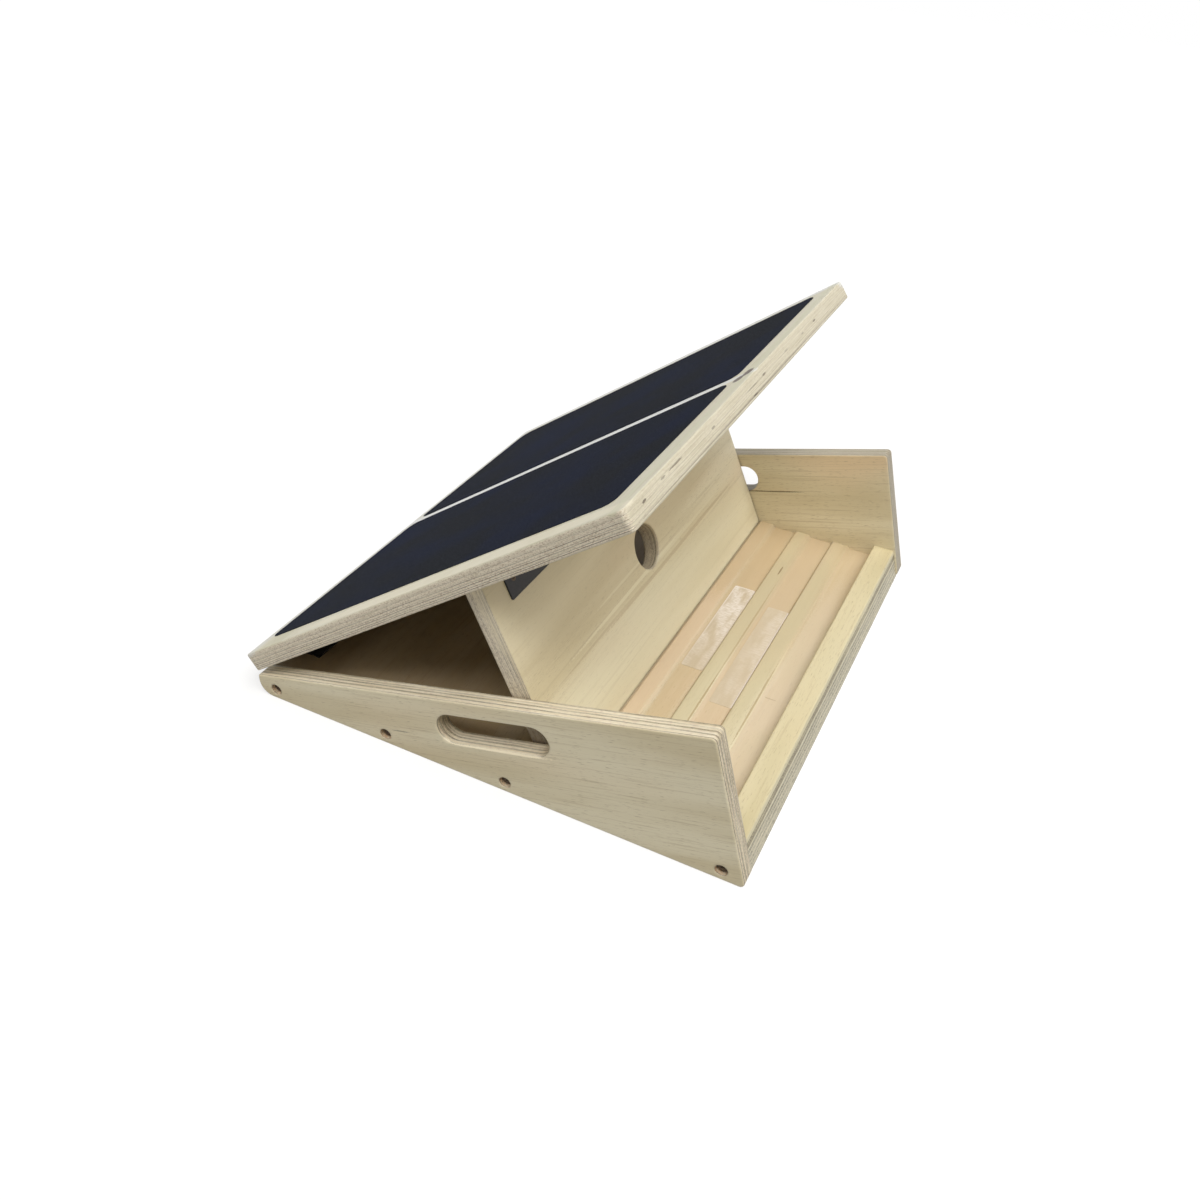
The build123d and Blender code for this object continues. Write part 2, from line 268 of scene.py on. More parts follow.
def cutEdge(tree, local, facing, height, seed, look):
    cutAcross, cutAlong = facing[:2]
    scale = look["thickness"] / sum(ply[0] for ply in look["plies"])
    plies = [(thickness * scale, kind, line) for thickness, kind, line in look["plies"]]

    # the wave keeps the plies from being dead straight
    wave = grain(tree, local, seed + 8.8, *look["wave"])
    height = addNode(tree, "ShaderNodeMath", {0: height, 1: wave}, operation="ADD")
    height = addNode(tree, "ShaderNodeMath", {0: height, 1: look["wave"][3] / 2}, operation="SUBTRACT")
    share = addNode(tree, "ShaderNodeMath", {0: height, 1: look["thickness"]}, operation="DIVIDE")
    kind = addNode(tree, "ShaderNodeValToRGB", {0: share})
    fillRamp(kind.node.color_ramp, plies, look)
    glue = addNode(tree, "ShaderNodeValToRGB", {0: share})
    fillRamp(glue.node.color_ramp, plies, look, look["glueMm"])

    # how much of each ply is end grain, and how strong the glue line is
    greyAlong = addNode(tree, "ShaderNodeMapRange",
                        {0: kind, 3: look["endAlong"][0], 4: look["endAlong"][1]})
    greyAcross = addNode(tree, "ShaderNodeMapRange",
                         {0: kind, 3: look["endAcross"][0], 4: look["endAcross"][1]})
    grey = addNode(tree, "ShaderNodeMath", {0: greyAlong, 1: cutAcross}, operation="MULTIPLY")
    grey = addNode(tree, "ShaderNodeMath", {0: greyAcross, 1: cutAlong, 2: grey},
                   operation="MULTIPLY_ADD", use_clamp=True)
    patch = grain(tree, local, seed + 9.1, *look["patch"])
    uneven = addNode(tree, "ShaderNodeMapRange", {0: patch, 3: look["uneven"][0], 4: look["uneven"][1]})
    grey = addNode(tree, "ShaderNodeMath", {0: grey, 1: uneven}, operation="MULTIPLY", use_clamp=True)
    broken = addNode(tree, "ShaderNodeMapRange",
                     {0: patch, 3: look["glueBroken"][0], 4: look["glueBroken"][1]})
    glue = addNode(tree, "ShaderNodeMath", {0: glue, 1: broken}, operation="MULTIPLY")
    lines = addNode(tree, "ShaderNodeMapRange", {0: cutAcross, 3: look["glueAlong"], 4: 1.0})
    glue = addNode(tree, "ShaderNodeMath", {0: glue, 1: lines}, operation="MULTIPLY")

    # dark and pale specks come from the same noise, so that they never overlap
    endPly = layered(
        tree, linear(look["plyEnd"]),
        (grain(tree, local, seed + 3.3, *look["speck"]), linear(look["plySpeck"])),
        (grain(tree, local, seed + 3.3, *look["speckPale"]), linear(look["plyTan"])))
    edge = layered(
        tree, linear(look["plyLight"]),
        (grain(tree, local, seed + 1.7, *look["plyGrain"]), linear(look["plyTan"])),
        (grey, endPly),
        (grain(tree, local, seed + 12.4, *look["blotch"]), linear(look["blotchTan"])),
        (glue, linear(look["glue"])))
    return edge, glue


# marks are ellipsoids in the board's own frame, in millimetres: centre, half sizes, strength, colour
def addMarks(tree, local, colour, marks, look):
    dent = 0.0
    if marks:
        depth = look["raggedDepth"]
        ragged = addNode(tree, "ShaderNodeTexNoise",
                         {"Vector": local, "Scale": look["raggedScale"], "Detail": 2.0,
                          "Roughness": 0.6}, "Color")
        ragged = addNode(tree, "ShaderNodeVectorMath",
                         {0: ragged, 1: (depth, depth, depth), 2: (-depth / 2, -depth / 2, -depth / 2)},
                         operation="MULTIPLY_ADD")
    for centre, half, strength, hexText in marks:
        shape = addNode(tree, "ShaderNodeMapping",
                        {"Vector": local, "Location": centre, "Scale": half}, vector_type="TEXTURE")
        if half[1] < look["raggedUpTo"]:
            shape = addNode(tree, "ShaderNodeVectorMath", {0: shape, 1: ragged})
        reach = addNode(tree, "ShaderNodeVectorMath", {0: shape}, "Value", operation="LENGTH")
        mask = addNode(tree, "ShaderNodeMapRange",
                       {0: reach, 1: look["markRim"][0], 2: look["markRim"][1], 4: strength},
                       interpolation_type="SMOOTHSTEP")
        colour = layered(tree, colour, (mask, linear(hexText)))
        if hexText == holeBrown:
            dent = addNode(tree, "ShaderNodeMath", {0: mask, 1: dent}, operation="MAXIMUM")
    return colour, dent


def makePlywood(name, place, seed, look, marks=()):
    material, tree = newMaterial(name)
    local, facing, height = boardCoords(tree, place)
    face, streak, pore = sandedFace(tree, local, height, seed, look)
    edge, glue = cutEdge(tree, local, facing, height, seed, look)
    onFace = addNode(tree, "ShaderNodeMapRange",
                     {0: facing[2], 1: look["onFace"][0], 2: look["onFace"][1]},
                     interpolation_type="SMOOTHSTEP")
    colour = layered(tree, edge, (onFace, face))
    colour, dent = addMarks(tree, local, colour, marks, look)

    relief = addNode(tree, "ShaderNodeMath", {0: pore, 1: -look["poreSink"], 2: streak},
                     operation="MULTIPLY_ADD")
    relief = addNode(tree, "ShaderNodeMath", {0: glue, 1: -look["glueSink"], 2: relief},
                     operation="MULTIPLY_ADD")
    relief = addNode(tree, "ShaderNodeMath", {0: dent, 1: -look["holeSink"], 2: relief},
                     operation="MULTIPLY_ADD")
    soft = addNode(tree, "ShaderNodeBevel", {"Radius": look["softMm"] * mm}, samples=look["softSamples"])
    bump = addNode(tree, "ShaderNodeBump",
                   {"Strength": look["bump"], "Distance": look["bumpMm"] * mm, "Height": relief,
                    "Normal": soft})
    rough = addNode(tree, "ShaderNodeMapRange",
                    {0: streak, 3: look["roughness"][0], 4: look["roughness"][1]})
    shader = addNode(tree, "ShaderNodeBsdfPrincipled",
                     {"Base Color": colour, "Roughness": rough, "Normal": bump, "IOR": 1.5})
    addNode(tree, "ShaderNodeOutputMaterial", {"Surface": shader})
    return material


# PVC sheet with fine mineral grit pressed in: blue-black and dead matt, with a faint sparkle.
gripLook = {
    "dark": "#191B1F",
    "light": "#272A32",
    "blue": "#1B2239",
    "gritMm": 0.9,                    # real grit is 0.2 to 0.4, drawn coarser to show
    "cloudMm": 70.0,
    "lightFrom": (0.40, 0.75),        # noise at which the lighter grit starts and is full
    "blueFrom": (0.4, 0.7),
    "blueStrength": 0.5,
    "bump": 0.5,
    "bumpMm": 0.25,
    "roughness": (0.92, 0.72),        # between the grit, and on it
    "roughFrom": (0.3, 0.8),
    "specular": 0.04,
}


def makeGrip(name):
    look = gripLook
    material, tree = newMaterial(name)
    place = addNode(tree, "ShaderNodeTexCoord", out="Object")
    grit = addNode(tree, "ShaderNodeTexNoise",
                   {"Vector": place, "Scale": 1 / (look["gritMm"] * mm), "Detail": 2.0, "Roughness": 0.7})
    cloud = addNode(tree, "ShaderNodeTexNoise",
                    {"Vector": place, "Scale": 1 / (look["cloudMm"] * mm), "Detail": 3.0})
    light = addNode(tree, "ShaderNodeMapRange",
                    {0: grit, 1: look["lightFrom"][0], 2: look["lightFrom"][1]})
    blue = addNode(tree, "ShaderNodeMapRange",
                   {0: cloud, 1: look["blueFrom"][0], 2: look["blueFrom"][1], 4: look["blueStrength"]})
    colour = layered(tree, linear(look["dark"]), (light, linear(look["light"])),
                     (blue, linear(look["blue"])))
    bump = addNode(tree, "ShaderNodeBump",
                   {"Strength": look["bump"], "Distance": look["bumpMm"] * mm, "Height": grit})
    rough = addNode(tree, "ShaderNodeMapRange",
                    {0: grit, 1: look["roughFrom"][0], 2: look["roughFrom"][1],
                     3: look["roughness"][0], 4: look["roughness"][1]})
    shader = addNode(tree, "ShaderNodeBsdfPrincipled",
                     {"Base Color": colour, "Roughness": rough, "Normal": bump, "IOR": 1.45,
                      "Specular IOR Level": look["specular"]})
    addNode(tree, "ShaderNodeOutputMaterial", {"Surface": shader})
    return material


# Mild steel, pressed and coated black: smooth satin black with a little orange peel, and browner
# and duller on the screws.
blackLook = {
    "leaf": ("#262425", "#3B393A", 0.42),     # coating, coating where it has worn, roughness
    "screw": ("#51443A", "#74654F", 0.5),
    "wornFrom": (0.45, 0.75),         # noise at which the wear starts and is full
    "wornRougher": 0.14,
    "peelMm": 1.1,
    "wearMm": 8.0,
    "bump": 0.12,
    "bumpMm": 0.1,
    "specular": 0.3,
}


def makeBlackSteel(name, kind):
    look = blackLook
    coatHex, wornHex, roughness = look[kind]
    material, tree = newMaterial(name)
    place = addNode(tree, "ShaderNodeTexCoord", out="Object")
    peel = addNode(tree, "ShaderNodeTexNoise",
                   {"Vector": place, "Scale": 1 / (look["peelMm"] * mm), "Detail": 2.0})
    wear = addNode(tree, "ShaderNodeTexNoise",
                   {"Vector": place, "Scale": 1 / (look["wearMm"] * mm), "Detail": 4.0})
    worn = addNode(tree, "ShaderNodeMapRange", {0: wear, 1: look["wornFrom"][0], 2: look["wornFrom"][1]})
    colour = layered(tree, linear(coatHex), (worn, linear(wornHex)))
    bump = addNode(tree, "ShaderNodeBump",
                   {"Strength": look["bump"], "Distance": look["bumpMm"] * mm, "Height": peel})
    rough = addNode(tree, "ShaderNodeMapRange",
                    {0: worn, 3: roughness, 4: roughness + look["wornRougher"]})
    shader = addNode(tree, "ShaderNodeBsdfPrincipled",
                     {"Base Color": colour, "Roughness": rough, "Normal": bump, "IOR": 1.5,
                      "Specular IOR Level": look["specular"]})
    addNode(tree, "ShaderNodeOutputMaterial", {"Surface": shader})
    return material


# Drawn mild steel wire, zinc plated: bright, with fine lines along the pin.
pinLook = {
    "dark": "#9FA1A3",
    "light": "#C4C6C8",
    "lineMm": (16.0, 0.35, 0.35),     # real lines are 0.05 wide, drawn coarser to show
    "lineFrom": (0.3, 0.7),           # noise at which a line starts and is full
    "roughness": (0.25, 0.42),
    "seed": 3.0,
}


def makeBrightSteel(name):
    look = pinLook
    material, tree = newMaterial(name)
    place = addNode(tree, "ShaderNodeTexCoord", out="Object")
    lines = grain(tree, place, look["seed"], tuple(size * mm for size in look["lineMm"]),
                  *look["lineFrom"])
    colour = layered(tree, linear(look["dark"]), (lines, linear(look["light"])))
    rough = addNode(tree, "ShaderNodeMapRange",
                    {0: lines, 3: look["roughness"][0], 4: look["roughness"][1]})
    shader = addNode(tree, "ShaderNodeBsdfPrincipled",
                     {"Base Color": colour, "Roughness": rough, "Metallic": 1.0})
    addNode(tree, "ShaderNodeOutputMaterial", {"Surface": shader})
    return material


# Polyester label film, clear and stuck down by hand: see-through, with milky white patches that are partly
# trapped air and partly painted reflection.
filmLook = {
    "clear": "#D6C4A6",               # the wood's own colour, which shows through where it lies flat
    # whitish colour of the patches: trapped air and painted reflection
    "milkyAndGlint": "#F2EAE2",
    "alpha": (0.85, 1.0),             # where it is clear, and where it is milky with painted reflection
    "patchMm": (30.0, 9.0, 9.0),
    "patchFrom": (0.3, 0.6),          # noise at which a patch starts and is full
    "creaseMm": (1.1, 5.0, 3.0),
    "creaseFrom": (0.35, 0.65),
    "betweenCreases": 0.4,            # how milky it is there, painted reflection included, against the creases
    "flatEnd": 0.3,                   # how milky it is where it lies flat, painted reflection included, against the lifted end
    "rimMm": 1.6,                     # how wide the lifted edge is, drawn milky with a painted highlight
    "bump": 0.4,
    "bumpMm": 0.3,
    "roughness": 0.42,
}


# the two ends given are where along one axis the film is lifted, milkiest with its painted reflection, and
# where it lies flat;
# rims are its edges that stand up, drawn milky with a painted highlight, as (axis, place of the edge, side
# on which the film lies)
def makeFilm(name, seed, strength, axis, milkyAndGlintEnd, clearEnd, rims):
    look = filmLook
    material, tree = newMaterial(name)
    place = addNode(tree, "ShaderNodeTexCoord", out="Object")
    patch = grain(tree, place, seed, tuple(size * mm for size in look["patchMm"]),
                  *look["patchFrom"], strength, 3.0, 0.6)
    crease = grain(tree, place, seed + 3.0, tuple(size * mm for size in look["creaseMm"]),
                   *look["creaseFrom"])
    along = addNode(tree, "ShaderNodeSeparateXYZ", {0: place}, axis)
    fade = addNode(tree, "ShaderNodeMapRange",
                   {0: along, 1: milkyAndGlintEnd, 2: clearEnd, 3: 1.0, 4: look["flatEnd"]})
    # mask of the milky patches, partly painted reflection
    milkyAndGlint = addNode(tree, "ShaderNodeMapRange", {0: crease, 3: look["betweenCreases"], 4: 1.0})
    milkyAndGlint = addNode(tree, "ShaderNodeMath", {0: milkyAndGlint, 1: fade}, operation="MULTIPLY")
    milkyAndGlint = addNode(tree, "ShaderNodeMath", {0: milkyAndGlint, 1: patch}, operation="MULTIPLY")
    # the lifted edges are drawn milky too, as a painted highlight
    for rimAxis, edge, side in rims:
        across = addNode(tree, "ShaderNodeSeparateXYZ", {0: place}, rimAxis)
        rim = addNode(tree, "ShaderNodeMapRange",
                      {0: across, 1: edge, 2: edge + side * look["rimMm"] * mm, 3: 1.0, 4: 0.0})
        rim = addNode(tree, "ShaderNodeMath", {0: rim, 1: fade}, operation="MULTIPLY")
        milkyAndGlint = addNode(tree, "ShaderNodeMath", {0: milkyAndGlint, 1: rim}, operation="MAXIMUM")
    colour = layered(tree, linear(look["clear"]), (milkyAndGlint, linear(look["milkyAndGlint"])))
    alpha = addNode(tree, "ShaderNodeMapRange", {0: milkyAndGlint, 3: look["alpha"][0], 4: look["alpha"][1]})
    bump = addNode(tree, "ShaderNodeBump",
                   {"Strength": look["bump"], "Distance": look["bumpMm"] * mm, "Height": crease})
    shader = addNode(tree, "ShaderNodeBsdfPrincipled",
                     {"Base Color": colour, "Roughness": look["roughness"], "Alpha": alpha,
                      "Normal": bump, "IOR": 1.5})
    addNode(tree, "ShaderNodeOutputMaterial", {"Surface": shader})
    return material


def paint(material, *names):
    for name in names:
        mesh = nodes[name].data
        mesh.materials.clear()
        mesh.materials.append(material)


# the screws through the sides sit in bores with walls of bare, warmer wood; lengths in millimetres
sideRow = {
    "shares": (0.041, 0.293, 0.546, 0.955),   # of the side's length, from its front end
    "sideLength": 399.0,              # along the bottom edge, with its rear corner still square
    "boreDepth": 6.0,
    "boreWall": "#D8A67A",
    "boreMark": (5.4, 5.4, 4.5),      # half sizes of the warm mark in each bore
    "boreMarkDepth": 2.5,             # how far in its middle lies
    "boreStrength": 0.75,
}
sideRowHeight = baseTop / 2


# where along Y the screws of a side are, in metres
def sideRowPlaces():
    return [(share - 0.5) * sideRow["sideLength"] * mm for share in sideRow["shares"]]


def boreMarks(place, outerX):
    marks = []
    for y in sideRowPlaces():
        x, across, out = inBoard(place, (outerX, y, sideRowHeight))
        marks.append(((x, across, out - sideRow["boreMarkDepth"]), sideRow["boreMark"],
                      sideRow["boreStrength"], sideRow["boreWall"]))
    return marks


# the near side's cut edges are paler than the other boards': partly its own plies and dark glue lines,
# partly painted light that lifts the lid's shadow on its top edge
rightSideLook = dict(
    plywoodLook,
    plies=((1.0, 0.2, 0.0), (0.9, 0.8, 0.9), (2.2, 0.0, 0.7), (0.7, 0.35, 0.5), (1.7, 0.1, 0.4),
           (0.9, 0.8, 1.0), (2.7, 0.1, 0.7), (0.8, 0.7, 1.0), (3.0, 0.05, 0.8), (1.0, 0.35, 1.0)),
    plyLight="#F9EFD8",
    plyTan="#E6D7B6",
    plyEnd="#C6B898",
    glue="#3E301D",
    glueMm=0.9,
    glueAlong=0.7,
    streak=((60.0, 1.5, 8.0), 0.50, 0.76, 0.55, 4.0, 0.62),
    pore=((7.0, 0.55, 3.0), 0.62, 0.74, 0.55, 1.0),
)
rightSideMarks = boreMarks(rightFrame, sideHigh.x) + [
    ((-61.6, 35.5, 15.0), (9.0, 0.6, 1.0), 0.5, holeBrown),       # short crack along the grain
    ((24.0, 31.6, 15.0), (46.0, 1.4, 1.8), 0.7, "#FFF1D2"),       # painted highlight along the lower rim of the hand slot, where the rounded edge catches light
    # painted highlight on the lower curve of the slot's left end
    ((-20.5, 34.0, 15.0), (4.2, 3.2, 1.8), 0.55, "#FFF1D2"),
]
paint(makePlywood("sandedPlywoodRightSide", rightFrame, 1.0, rightSideLook, rightSideMarks), "right_side")

leftSideLook = dict(
    plywoodLook,
    faceWarm="#E6C296",
    plyLight="#BFB7A3",
    plyTan="#ACA490",
    plyEnd="#958B76",
    blotchTan="#A09080",
    streak=((80.0, 1.6, 8.0), 0.50, 0.76, 0.6, 4.0, 0.62),
    pore=((7.0, 0.55, 3.0), 0.62, 0.74, 0.6, 1.0),
)
leftSideMarks = boreMarks(leftFrame, -sideHigh.x) + [
    ((85.0, -31.7, 0.0), (26.0, 0.7, 1.2), 0.75, holeBrown),      # crack along the grain, behind the slot
    ((60.0, -31.9, 0.0), (14.0, 0.9, 1.2), 0.6, holeBrown),
]
paint(makePlywood("sandedPlywoodLeftSide", leftFrame, 11.0, leftSideLook, leftSideMarks), "left_side")

baseLook = dict(
    plywoodLook,
    thickness=baseTop / mm,
    plies=((2.8, 0.6, 0.0), (1.6, 0.9, 0.3), (2.4, 0.5, 0.3), (1.4, 1.0, 0.5), (2.2, 0.5, 0.4),
           (1.4, 1.0, 0.7), (1.9, 0.4, 0.5), (1.3, 1.0, 1.0), (2.0, 0.2, 0.9)),
    endAcross=(0.1, 1.0),
    floorBelow=16.8,
    faceLight="#D8CDAE",
    faceDark="#C8BA95",
    plyLight="#E3D9BC",
    plyTan="#CCC0A2",
    plyEnd="#C1BAA2",
    plySpeck="#675F49",
    blotchTan="#BCB39C",
    glue="#4A4330",
    glueMm=1.2,
    speck=((2.0, 2.0, 1.0), 0.46, 0.64, 0.8, 2.0, 0.6),
    speckPale=((2.0, 2.0, 1.0), 0.44, 0.32, 0.7, 2.0, 0.6),
)
baseMarks = [
    # uneven wear on the lands and the notch floors
    ((-165.0, 120.0, 17.0), (210.0, 70.0, 7.0), 0.6, "#C3AD88"),
    ((-90.0, 124.0, 16.0), (120.0, 30.0, 6.0), 0.4, "#B8A888"),
    ((-60.0, 67.0, 17.0), (240.0, 9.0, 4.0), 0.35, "#DCC7B2"),
    ((-40.0, 140.0, 17.0), (150.0, 7.5, 3.0), 0.55, "#C6BA96"),
    ((30.0, 66.0, 17.0), (190.0, 11.0, 3.0), 0.7, "#D6BC9A"),
    ((-140.0, 67.0, 17.0), (90.0, 9.0, 3.0), 0.6, "#C8B088"),
    ((-60.0, 85.0, 14.5), (260.0, 13.0, 3.0), 0.45, "#C6AB84"),
    ((20.0, 103.0, 17.0), (330.0, 7.0, 3.0), 0.55, "#C7BB98"),
    ((0.0, 121.0, 14.5), (330.0, 13.0, 3.0), 0.5, "#CBB290"),
    ((60.0, 158.0, 14.5), (220.0, 13.0, 3.0), 0.5, "#D0BFA4"),
    # painted shade: brown lines at the foot of the upright walls behind the prop, where shade gathers
    ((0.0, 97.0, 15.0), (330.0, 1.2, 2.4), 0.55, "#A27E50"),
    ((0.0, 133.0, 15.0), (330.0, 1.2, 2.4), 0.6, "#9A7547"),
    ((40.0, 170.4, 15.0), (330.0, 1.3, 2.4), 0.6, "#8A673D"),
    # shorter painted shade lines where the next notch starts, then a speck and a scratch
    ((75.0, 109.3, 17.0), (42.0, 0.9, 1.6), 0.6, "#A08558"),
    ((-20.0, 109.3, 17.0), (90.0, 0.8, 1.6), 0.4, "#A08558"),
    ((55.0, 147.2, 17.0), (60.0, 0.9, 1.6), 0.55, "#A08558"),
    ((-127.0, 105.8, 17.0), (9.0, 0.8, 1.2), 0.7, "#7A5C3A"),
    ((43.0, 155.0, 14.5), (0.8, 6.0, 1.2), 0.3, "#8A6E48"),
    # painted shade: darker brown under the platform, where its shadow falls
    ((20.0, -118.0, 17.0), (430.0, 172.0, 60.0), 0.4, "#7A4420"),
    ((60.0, -196.0, 17.0), (330.0, 62.0, 30.0), 0.3, "#5E4229"),
]
paint(makePlywood("sandedPlywoodBase", baseFrame, 21.0, baseLook, baseMarks), "base_board")

platformLook = dict(
    plywoodLook,
    plies=((2.1, 0.05, 0.0), (1.2, 0.75, 1.0), (1.8, 0.0, 0.8), (1.2, 0.7, 1.0), (1.9, 0.1, 0.6),
           (1.0, 0.6, 0.9), (2.2, 0.2, 0.3), (0.8, 0.5, 0.5), (2.8, 0.15, 0.2)),
    endAlong=(0.65, 0.85),
    endAcross=(0.1, 0.35),
    faceLight="#DCD6BE",
    faceDark="#CBC5A6",
    faceWarm="#D8CDB3",
    plyLight="#D9D1B9",
    plyTan="#C4BB9E",
    plyEnd="#F5E9D3",
    plySpeck="#B39D80",
    blotchTan="#C6B6A0",
    glue="#463522",
    glueMm=0.7,
    glueAlong=0.35,
)
# small open spots between the plies of the platform's rear edge
rearSpotDepth = 1.2
rearSpots = [
    # from the middle, above the underside, half length, half height, strength
    (193.0, 9.0, 3.2, 0.9, 0.75),
    (165.0, 10.4, 3.5, 0.8, 0.45),
    (146.0, 10.6, 11.0, 0.7, 0.6),
    (87.0, 8.7, 3.2, 0.8, 0.5),
    (14.0, 8.0, 12.0, 0.6, 0.35),
    (-10.0, 8.3, 3.2, 0.9, 0.6),
    (-59.0, 8.4, 4.0, 0.8, 0.3),
    (-98.0, 8.0, 3.0, 0.7, 0.35),
    (-128.0, 8.4, 3.5, 0.9, 0.65),
    (15.0, 2.4, 4.5, 0.7, 0.7),
    (70.0, 2.4, 190.0, 0.7, 0.3),
    (-60.0, 2.4, 190.0, 0.8, 0.25),
]
platformMarks = [((x, boards["platformRear"], above), (long, rearSpotDepth, high), strength, holeBrown)
                 for x, above, long, high, strength in rearSpots]
platformMarks += [
    ((-3.2, 170.0, 15.0), (9.0, 240.0, 2.0), 0.85, "#E9E9E8"),    # glue haze between the sheets
    ((-222.0, 180.0, 15.0), (22.0, 420.0, 9.0), 0.8, "#E6E6E2"),  # paler left, front and right borders
    ((0.0, -2.0, 15.0), (420.0, 15.0, 4.0), 0.6, "#DEDEDA"),
    ((206.0, 230.0, 15.0), (9.0, 190.0, 4.0), 0.6, "#EFE6CC"),
    ((0.0, 366.0, 15.0), (420.0, 4.5, 3.0), 0.45, "#D2D0AE"),     # greener rear border
    ((3.0, 361.0, 15.0), (7.0, 4.4, 6.0), 1.0, holeBrown),        # knot by the rear edge
    ((-6.0, 365.5, 15.0), (8.0, 4.2, 6.0), 1.0, holeBrown),
    ((214.0, 3.0, 8.8), (1.2, 2.0, 0.9), 0.8, holeBrown),         # small hole in the right edge
]
paint(makePlywood("sandedPlywoodPlatform", platformFrame, 31.0, platformLook, platformMarks),
      "platform_board")

propLook = dict(
    plywoodLook,
    plies=((3.6, 0.6, 0.0), (1.4, 0.8, 0.4), (3.4, 0.55, 0.3), (1.2, 0.9, 0.6), (2.0, 0.4, 0.5),
           (0.9, 1.0, 1.0), (1.5, 0.1, 0.7), (1.0, 0.8, 0.7)),
    endAlong=(0.35, 1.0),
    faceLight="#E8DDBE",
    faceDark="#D3C49E",
    faceWarm="#DFC6A4",
    plyEnd="#E0D3BC",
    plySpeck="#A09079",
    blotchTan="#C2B29C",
    glue="#54412C",
    glueMm=0.8,
    cloud=((300.0, 26.0, 20.0), 0.30, 0.72, 1.0, 2.0),
    warm=((220.0, 45.0, 40.0), 0.45, 0.75, 0.5, 1.0),
    streak=((150.0, 3.0, 10.0), 0.50, 0.76, 0.4, 4.0, 0.62),
    pore=((7.0, 0.55, 3.0), 0.62, 0.74, 0.5, 1.0),
)
# painted shade on the prop's near end and painted light in a pale band across its rear face, then bands and
# streaks across that face
propMarks = [
    # painted shade: the near end darkened where the lid's shadow falls
    ((200.0, 132.0, 7.5), (6.0, 36.0, 14.0), 0.7, "#5E4C36"),
    # painted light: a paler band that lifts the lid's shadow
    ((0.0, 140.0, 15.0), (420.0, 42.0, 4.0), 0.5, "#E6DDBC"),
    ((40.0, 60.0, 15.0), (220.0, 36.0, 4.0), 0.35, "#C8B68F"),
    ((165.0, 10.0, 15.0), (190.0, 62.0, 12.0), 0.35, "#FDF0CE"),
    ((35.0, 94.5, 15.0), (115.0, 1.7, 3.0), 0.6, "#EEE5C6"),
    ((-60.0, 96.5, 15.0), (90.0, 1.4, 3.0), 0.4, "#EEE5C6"),
    ((40.0, 83.0, 15.0), (60.0, 1.2, 3.0), 0.4, "#EBE2C4"),
    ((-40.0, 102.5, 15.0), (150.0, 1.8, 3.0), 0.45, "#B79F74"),
    ((90.0, 100.5, 15.0), (80.0, 1.2, 3.0), 0.35, "#B79F74"),
]
paint(makePlywood("sandedPlywoodProp", propFrame, 41.0, propLook, propMarks), "prop_board")

# The rail is a strip of thinner plywood with a yellower face, brown cross plies low on its rear edge.
railLook = dict(
    plywoodLook,
    thickness=(railTop - baseTop) / mm,
    plies=((0.9, 0.0, 0.0), (1.7, 1.0, 0.9), (1.9, 0.9, 1.0), (4.0, 0.1, 0.8)),
    endAcross=(0.1, 1.0),
    faceLight="#D7CBA6",
    faceDark="#C6B990",
    faceWarm="#D6C79F",
    plyLight="#DDD3B0",
    plyTan="#CFC39C",
    plyEnd="#A09577",
    plySpeck="#62573F",
    blotchTan="#AFA489",
    glue="#5A4C33",
    glueMm=0.9,
)
paint(makePlywood("sandedPlywoodRail", railFrame, 51.0, railLook), "rear_rail")

paint(makeGrip("gritPressedPvc"), "left_grip_sheet", "right_grip_sheet")
leafBlack = makeBlackSteel("blackCoatedSteelLeaf", "leaf")
screwBlack = makeBlackSteel("blackCoatedSteelScrew", "screw")
pinBright = makeBrightSteel("zincPlatedDrawnSteel")
lowFilm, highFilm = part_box("notch_label_1")
paint(makeFilm("clearPolyesterFilmUpper", 4.0, 1.0, 0, lowFilm.x, highFilm.x,
               ((0, lowFilm.x, 1), (1, lowFilm.y, 1))), "notch_label_1")
lowFilm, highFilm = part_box("notch_label_2")
paint(makeFilm("clearPolyesterFilmLower", 9.0, 0.42, 1, highFilm.y, lowFilm.y,
               ((1, highFilm.y, -1),)), "notch_label_2")
for name in nodes:
    if "pin" in name:
        paint(pinBright, name)
print("materials done")

# black cross-head screws; lengths in metres
hingeScrew = {
    "Head Radius": 0.003,
    "Head Height": 0.0013,
    "Under Radius": 0.0016,           # head radius underneath, smaller on a countersunk head
    "Shank Radius": 0.0014,
    "Shank Length": 0.0107,
    "Thread Pitch": 0.0012,
    "Recess Size": 0.0018,
    "Recess Depth": 0.0009,
}
sideScrew = {
    "Head Radius": 0.004,
    "Head Height": 0.0024,
    "Under Radius": 0.004,
    "Shank Radius": 0.0018,
    "Shank Length": 0.032,
    "Thread Pitch": 0.0018,
    "Recess Size": 0.002,
    "Recess Depth": 0.0012,
}
screwShape = {
    "headSides": 24,
    "shankSides": 16,
    "armShare": 0.45,                 # width of the recess's arms, against their reach
    "pointShare": 0.2,                # of the shank's length
    "pointRadius": 0.0001,
    "threadShare": 0.22,              # radius of the thread's profile, against its pitch
    "turnSteps": 14,
    "spinMost": 6.283,                # radians, as each screw is driven home at its own angle
    "seed": 4,
}


# a shape moved to a height along Z
def atHeight(tree, shape, height):
    place = addNode(tree, "ShaderNodeCombineXYZ", {2: height})
    return addNode(tree, "GeometryNodeTransform", {"Geometry": shape, "Translation": place})


